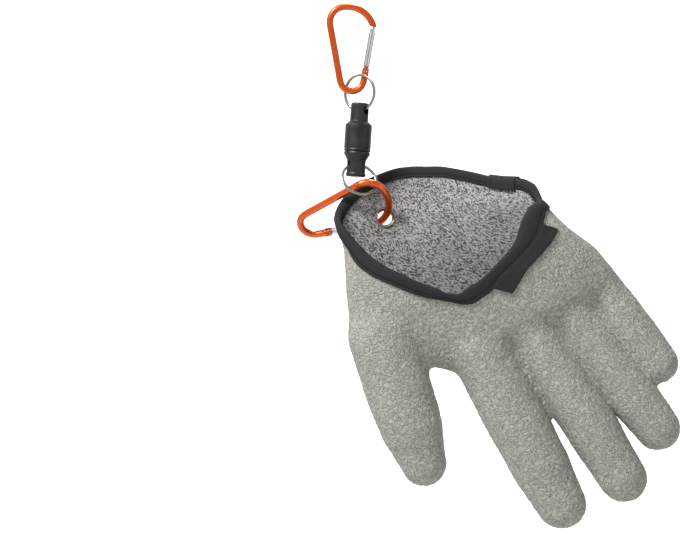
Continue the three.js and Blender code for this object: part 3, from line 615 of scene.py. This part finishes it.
ORANGE = anodised()
SILVER = satin_silver()
NICKEL = nickel("nickel_plate", (0.56, 0.53, 0.47), (0.4, 0.38, 0.33), 1.0, 0.22, 0.36)
DULL_NICKEL = nickel("dull_nickel", (0.4, 0.35, 0.27), (0.3, 0.26, 0.2), 0.75, 0.38, 0.5)
BLACK = moulded_black()
LATEX = crinkled_latex()
KNIT = knitted()
TAPE = woven("binding_tape", (0.007, 0.007, 0.008), (0.036, 0.036, 0.039), 1.1, 0.8)
CLOTH_LABEL = woven("label_cloth", (0.01, 0.01, 0.011), (0.034, 0.034, 0.036), 1.6, 0.6)
THREAD = woven("thread", (0.001, 0.001, 0.001), (0.006, 0.006, 0.006), 3.0, 0.9)


# Hard pieces
def refined(node, name, voxel, rounds, material, body, slot):
    """A smooth, finely meshed copy of a solid of the frame, which it stands for."""
    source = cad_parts[node]
    mesh = source.data.copy()
    obj = bpy.data.objects.new(name, mesh)
    bpy.context.scene.collection.objects.link(obj)
    set_coordinates(mesh, coordinates(mesh) / MM)
    remeshed(obj, voxel)
    relaxed(obj.data, rounds)
    set_coordinates(obj.data, coordinates(obj.data) * MM)
    obj.data.materials.clear()
    obj.data.materials.append(material)
    shaded_smooth(obj.data)
    finish(obj, body, slot, node)


def finish(obj, body, slot, *nodes):
    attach(obj, body)
    if nodes:
        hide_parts(*nodes)


def hard_pieces():
    for side, body in (("upper", "held"), ("lower", "released")):
        gate = f"{side}_gate"
        refined(f"{side}_carabiner_body", f"{side}_rod", 0.24, 7, ORANGE, body, "orange_aluminium")
        refined(f"{side}_carabiner_gate", f"{side}_gate_tube", 0.22, 4, SILVER, gate, "silver_aluminium")
        refined(f"{side}_hinge_pin", f"{side}_rivet", 0.15, 3, ORANGE, body, "orange_aluminium")
    refined("clip_socket", "clip_upper_half", 0.3, 4, BLACK, "held", "black_plastic")
    refined("clip_plug", "clip_lower_half", 0.3, 4, BLACK, "released", "black_plastic")
    refined("eyelet", "eyelet_rings", 0.16, 5, DULL_NICKEL, "released", "nickel_steel")
    split_ring("split_ring_upper", "ring_coils_upper", "held")
    split_ring("split_ring_lower", "ring_coils_lower", "released")


def split_ring(node, name, body):
    """Two flat coils side by side, with the step where each end leaves the other coil."""
    points = coordinates(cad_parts[node].data) / MM
    middle = points.mean(0)
    axes = np.linalg.svd(points - middle, full_matrices=False)[2]
    across, rise, axle = axes
    if rise[2] < 0:
        rise = -rise
    reach = np.abs((points - middle) @ across).max()
    half_wide = np.abs((points - middle) @ axle).max()
    half_high = half_wide / 2 * COIL_SHARE
    mean = reach - half_wide
    section = np.radians(np.arange(0, 360, 30.0))
    turns = np.linspace(0, 2, COIL_STEPS)
    round_wide = np.sign(np.cos(section)) * np.abs(np.cos(section)) ** COIL_ROUNDNESS
    round_high = np.sign(np.sin(section)) * np.abs(np.sin(section)) ** COIL_ROUNDNESS
    rings = []
    for turn in turns:
        angle = (turn + COIL_START) * 2 * math.pi
        step = np.interp(turn, [0, 0.9, 1.1, 2], [-1, -1, 1, 1])
        out = across * math.cos(angle) + rise * math.sin(angle)
        spread = 1.0 if COIL_END < turn < 2 - COIL_END else COIL_END_WIDTH
        wide = round_wide * half_wide * spread
        high = round_high * half_high * spread
        aside = np.outer(high + step * half_high, axle)
        rings.append(middle + out * mean + np.outer(wide, out) + aside)
    made, faces = lofted(rings)
    obj = mesh_object(name, np.array(made) * MM, faces, NICKEL)
    finish(obj, body, "nickel_steel", node)


# Glove
def form_object(name, offset, voxel):
    parts = [lofted(palm_rings(offset))]
    for finger in FINGERS:
        parts.append(lofted(finger_rings(finger, offset)))
    points, faces = joined(parts)
    obj = mesh_object(name, points, faces)
    remeshed(obj, voxel)
    return obj


def softened(mesh):
    """Smooths the form, and most of all where the fingers and the thumb leave the palm."""
    relaxed(mesh, FORM_ROUNDS, back=0)
    height = palm_coordinates(coordinates(mesh))[1]
    relaxed(mesh, ROOT_ROUNDS, back=0, share=np.interp(height, ROOT_HEIGHTS, ROOT_SHARES))
    for place in THUMB_SIDES:
        away = np.linalg.norm(coordinates(mesh)[:, [0, 2]] - place, axis=1)
        relaxed(mesh, THUMB_ROUNDS, back=0, share=np.exp(-(away / THUMB_SIDE_REACH) ** 2))


def cut_open(obj):
    """Takes away what is above the rim, and the hole for the eyelet."""
    points = coordinates(obj.data)
    around, height = palm_coordinates(points)
    above = height > rim_height(around) - BELOW_RIM
    away = np.linalg.norm(points - eyelet_middle(), axis=1)
    old = obj.data
    obj.data = without(old, above | (away < EYELET_HOLE))
    bpy.data.meshes.remove(old)


def soft_folds(points):
    """Shallow folds of the hanging glove, in millimetres along the normal: none at its tape and eyelet."""
    slow = noise_values(points * (1.0, 1.6, 1.0), 0.026, 2)
    quick = noise_values(points, 0.075, 5)
    around, height = palm_coordinates(points)
    from_rim = np.where(height < -70, 1.0, np.clip((rim_height(around) - height - 5) / 26, 0, 1))
    away = np.linalg.norm(points - eyelet_middle(), axis=1)
    from_eyelet = np.clip((away - 9) / 18, 0, 1)
    return (slow * FOLD_DEPTH + quick * RIPPLE_DEPTH) * from_rim * from_eyelet


def latex_skin():
    obj = form_object("latex_skin", -SKIN_INSET, SKIN_VOXEL)
    softened(obj.data)
    cut_open(obj)
    mesh = obj.data
    points = coordinates(mesh)
    normals = vertex_normals(mesh)
    height = palm_coordinates(points)[1]
    folds = soft_folds(points)
    bent = points + 1.3 * np.stack([noise_values(points, 0.16, seed) for seed in (7, 8, 9)], -1)
    fine = np.abs(noise_values(bent, 0.33, 11))
    broad = np.abs(noise_values(bent, 0.24, 12))
    ridge = np.clip(1 - fine * 4.2, 0, 1) * 0.75 + np.clip(1 - broad * 4.6, 0, 1) * 0.45
    ridge = np.clip(ridge, 0, 1)
    grip = 0.3 + 0.7 * np.clip((-height - 30) / 55, 0, 1)
    crinkle = (ridge - 0.35) * CRINKLE_DEPTH * grip
    set_coordinates(mesh, points + normals * (folds + crinkle)[:, None])
    # Ridge height for the material, which uses it to paint shade into the hollows between the ridges
    set_attribute(mesh, "ridge", ridge * (0.45 + 0.55 * grip))
    set_coordinates(mesh, placed(coordinates(mesh)))
    mesh.materials.append(LATEX)
    shaded_smooth(mesh)
    finish(obj, "released", "grey_latex", "latex_shell")


def knit_uv(mesh, points):
    """Counts wales and courses over the lining, laid out flat from the middle of its rear wall."""
    around, height = palm_coordinates(points)
    angles = np.arange(0.0, 361.0)
    outline = palm_point(angles, -10.0, -WALL)
    lengths = arc_lengths(outline)
    flat = lengths[90] - np.interp(around, angles, lengths)
    across = flat * math.cos(WALE_LEAN) + height * math.sin(WALE_LEAN)
    along = flat * math.sin(WALE_LEAN) - height * math.cos(WALE_LEAN)
    uv = np.stack([across / WALE, along / COURSE], -1)[corner_vertices(mesh)]
    seam = lengths[-1] * math.cos(WALE_LEAN) / WALE
    starts = np.empty(len(mesh.polygons), np.int32)
    mesh.polygons.foreach_get("loop_start", starts)
    totals = np.empty(len(mesh.polygons), np.int32)
    mesh.polygons.foreach_get("loop_total", totals)
    first = np.repeat(uv[starts], totals, axis=0)
    order = np.concatenate([np.arange(s, s + t) for s, t in zip(starts, totals)])
    step = np.round((uv[order, 0] - first[:, 0]) / seam)
    uv[order, 0] -= step * seam
    uv[order, 1] -= step * lengths[-1] * math.sin(WALE_LEAN) / COURSE
    set_uv(mesh, "knit", uv)


def knit_lining():
    obj = form_object("knit_lining", LINING_GAP - WALL, LINING_VOXEL)
    softened(obj.data)
    cut_open(obj)
    mesh = obj.data
    mesh.flip_normals()
    points = coordinates(mesh)
    folds = soft_folds(points)
    rows = noise_values(points, 0.5, 21) * 0.14
    set_coordinates(mesh, points - vertex_normals(mesh) * (folds - rows)[:, None])
    knit_uv(mesh, points)
    set_coordinates(mesh, placed(coordinates(mesh)))
    mesh.materials.append(KNIT)
    shaded_smooth(mesh)
    finish(obj, "released", "speckled_knit", "knit_liner")


def tape_outline(base):
    """The tape's U section as distances down the wall and offsets out of it, all the way round."""
    near = TAPE_GAP + base
    far = near + TAPE_THICKNESS
    width = TAPE_WIDTH + base * 0.6
    outside = [
        (width, near), (width + 0.12, (near + far) / 2), (width - 0.12, far - 0.08), (width - 0.7, far),
        (4.6, far + 0.06), (4.0, far - 0.16), (3.4, far + 0.06), (2.2, far + 0.12), (1.0, far + 0.1),
        (0.1, far - 0.06), (-0.6, far - 0.5), (-1.02 - base, -0.2), (-1.1 - base, -WALL / 2),
    ]
    folded = [(d, -WALL - o) for d, o in reversed(outside[:-1])]
    hollow = [
        (width - 0.9, -WALL - near), (0.3, -WALL - near), (0.05, -WALL / 2),
        (0.3, near), (width - 0.9, near),
    ]
    return outside + folded + hollow


def swept_tape(name, arounds, base, closed):
    outline = tape_outline(base)
    rings = np.stack([rim_point(arounds, d, o) for d, o in outline], 1)
    line = rim_point(arounds, 0, 0)
    lengths = arc_lengths(line)
    pucker = 0.05 * np.cos(2 * math.pi * lengths / STITCH_PITCH)
    ripple = noise_values(line, 0.11, 31) * 0.22
    centre = rings.mean(1)
    out = rings - centre[:, None, :]
    out /= np.linalg.norm(out, axis=2, keepdims=True)
    rings = rings + out * (pucker + ripple)[:, None, None] * 0.7
    points, faces = lofted(rings, closed_rows=closed)
    obj = mesh_object(name, placed(np.array(points)), faces, TAPE)
    turns = arc_lengths(np.array(outline))
    ring, place = np.divmod(corner_vertices(obj.data), len(outline))
    set_uv(obj.data, "weave", np.stack([lengths[ring], turns[place]], -1))
    return obj


def stitches(line, count, half_lengths, radii, upward):
    """Points and faces of stitches along a line, each thin at its ends and thicker between them."""
    lengths = arc_lengths(line)
    angles = np.radians(np.arange(0, 360, 60.0))
    parts = []
    for i in range(count):
        middle = (i + 0.5) * lengths[-1] / count
        ends = [middle + reach for reach in half_lengths]
        at = np.stack([np.interp(ends, lengths, line[:, axis]) for axis in range(3)], -1)
        way = at[-1] - at[0]
        way /= np.linalg.norm(way)
        side = np.cross(way, upward)
        side /= np.linalg.norm(side)
        up = np.cross(side, way)
        round_about = np.outer(np.cos(angles), side) + np.outer(np.sin(angles), up)
        parts.append(lofted([point + radius * round_about for point, radius in zip(at, radii)]))
    return joined(parts)


def stitch_row(arounds, distance, offset):
    """A row of sunk stitches along the rim."""
    line = rim_point(arounds, distance, offset)
    count = int(arc_lengths(line)[-1] / STITCH_PITCH)
    return stitches(line, count, (-0.7, -0.35, 0.35, 0.7), (0.15, 0.3, 0.3, 0.15), (0.0, 0.3, 1.0))


def stitch_bar(around, offset):
    """Stitches across the tape, where its lap ends."""
    moved, height = rim_place(np.full(30, around), np.linspace(0.6, 5.6, 30))
    line = palm_point(moved, height, offset)
    count = max(2, int(arc_lengths(line)[-1] / BAR_PITCH))
    return stitches(line, count, (-0.55, -0.3, 0.3, 0.55), (0.1, 0.22, 0.22, 0.1), (0.3, 1.0, 0.0))


def binding():
    tape = swept_tape("cuff_tape", np.arange(0, 360, 0.75), 0.0, True)
    finish(tape, "released", "black_tape", "cuff_binding")
    lap = swept_tape("tape_lap", np.linspace(*LAP, 40), LAP_RISE, False)
    finish(lap, "released", "black_tape", "binding_overlap")
    all_round = np.arange(0, 360.5, 0.5)
    rows = [stitch_row(all_round, STITCH_DOWN, offset) for offset in (1.0, -WALL - 1.0)]
    for around in (LAP[0] + BAR_INSET, LAP[1] - BAR_INSET):
        for offset in (2.2, -WALL - 2.2):
            rows.append(stitch_bar(around, offset))
    points, faces = joined(rows)
    thread = mesh_object("tape_stitches", placed(np.array(points)), faces, THREAD)
    finish(thread, "released", "black_tape")


def moved_aside(around, height, aside, down, offset):
    """Points of the front wall, moved aside and down by distances that the viewer sees."""
    share = power(np.cos(np.radians(around))) + aside / (palm_column("width", height) * HALF_WIDTH)
    angle = np.arccos(np.sign(share) * np.abs(share) ** (SQUARENESS / 2))
    return palm_point(360 - np.degrees(angle), height - down, offset)


def loop_label():
    """The folded plain label that stands out of the tape's edge."""
    arounds = np.linspace(LABEL[0] + 0.4, LABEL[1] - 0.4, 70)
    first = TAPE_WIDTH - 0.6
    last = TAPE_WIDTH + LABEL_WIDTH
    down = np.linspace(first, last - 0.25, 14)
    top = [(d, LABEL_UPPER + 0.08 * math.sin((d - first) * 1.1)) for d in down]
    edge = [
        (last - 0.05, LABEL_UPPER - 0.12), (last, (LABEL_UNDER + LABEL_UPPER) / 2),
        (last - 0.05, LABEL_UNDER + 0.12),
    ]
    bottom = [(d, LABEL_UNDER) for d in down[::-1]]
    outline = top + edge + bottom
    edge_around, edge_height = rim_place(arounds, np.full(len(arounds), first))
    ends = palm_point(edge_around[[0, -1]], edge_height[[0, -1]], 0)
    run = ends[1, 0] - ends[0, 0]
    climb = edge_height[-1] - edge_height[0]
    length = math.hypot(run, climb)
    rings = np.stack([
        moved_aside(edge_around, edge_height, (d - first) * climb / length, (d - first) * run / length, o)
        for d, o in outline
    ], 1)
    points, faces = lofted(rings)
    obj = mesh_object("woven_label", placed(np.array(points)), faces, CLOTH_LABEL)
    ring, place = np.divmod(corner_vertices(obj.data), len(outline))
    down_the_label = np.array(outline)[:, 0]
    set_uv(obj.data, "weave", np.stack([ring * 0.95, down_the_label[place]], -1))
    finish(obj, "released", "black_tape", "loop_label")


# Stage, light and camera
def area_light(name, place, size, watts):
    data = bpy.data.lights.new(name, "AREA")
    data.shape = "RECTANGLE"
    data.size = size[0]
    data.size_y = size[1]
    data.energy = watts
    light = bpy.data.objects.new(name, data)
    bpy.context.scene.collection.objects.link(light)
    light.location = place
    light.rotation_euler = (Vector(LIGHT_TARGET) - Vector(place)).to_track_quat("-Z", "Y").to_euler()


def studio():
    scene = bpy.context.scene
    scene.view_settings.view_transform = "Standard"
    world = bpy.data.worlds.new("studio")
    world.use_nodes = True
    background = world.node_tree.nodes["Background"]
    background.inputs["Color"].default_value = (1.0, 1.0, 1.0, 1.0)
    background.inputs["Strength"].default_value = WORLD_LIGHT
    scene.world = world
    area_light("key", (-0.85, -0.8, 1.05), (0.45, 0.45), 37)
    area_light("side", (1.3, -0.9, 0.1), (0.5, 1.0), 2)
    area_light("crown", (0.1, 0.5, 1.2), (0.6, 0.4), 8)
    wall_corners = [(-4.5, 3.4, -2.6), (4.5, 3.4, -2.6), (4.5, 3.4, 3.4), (-4.5, 3.4, 3.4)]
    wall = mesh_object("backdrop", wall_corners, [(0, 1, 2, 3)], lit_wall())
    angles = np.linspace(0, 2 * math.pi, FLOOR_SIDES + 1)[:-1]
    disc = [(FLOOR_RADIUS * math.cos(a), FLOOR_RADIUS * math.sin(a), FLOOR_HEIGHT) for a in angles]
    floor = mesh_object("floor", disc, [tuple(range(FLOOR_SIDES))], plain_stage())


def photo_camera():
    data = bpy.data.cameras.new("camera")
    data.lens = LENS
    data.sensor_width = SENSOR
    data.clip_start = 0.05
    data.clip_end = 50
    camera = bpy.data.objects.new("camera", data)
    bpy.context.scene.collection.objects.link(camera)
    distance = SHOWN_WIDTH * LENS / SENSOR
    camera.location = (VIEW_CENTRE[0], GLOVE_DEPTH - distance, VIEW_CENTRE[1])
    camera.rotation_euler = (math.radians(90), 0, 0)
    bpy.context.scene.camera = camera


photo_camera()
studio()
hard_pieces()
latex_skin()
knit_lining()
binding()
loop_label()
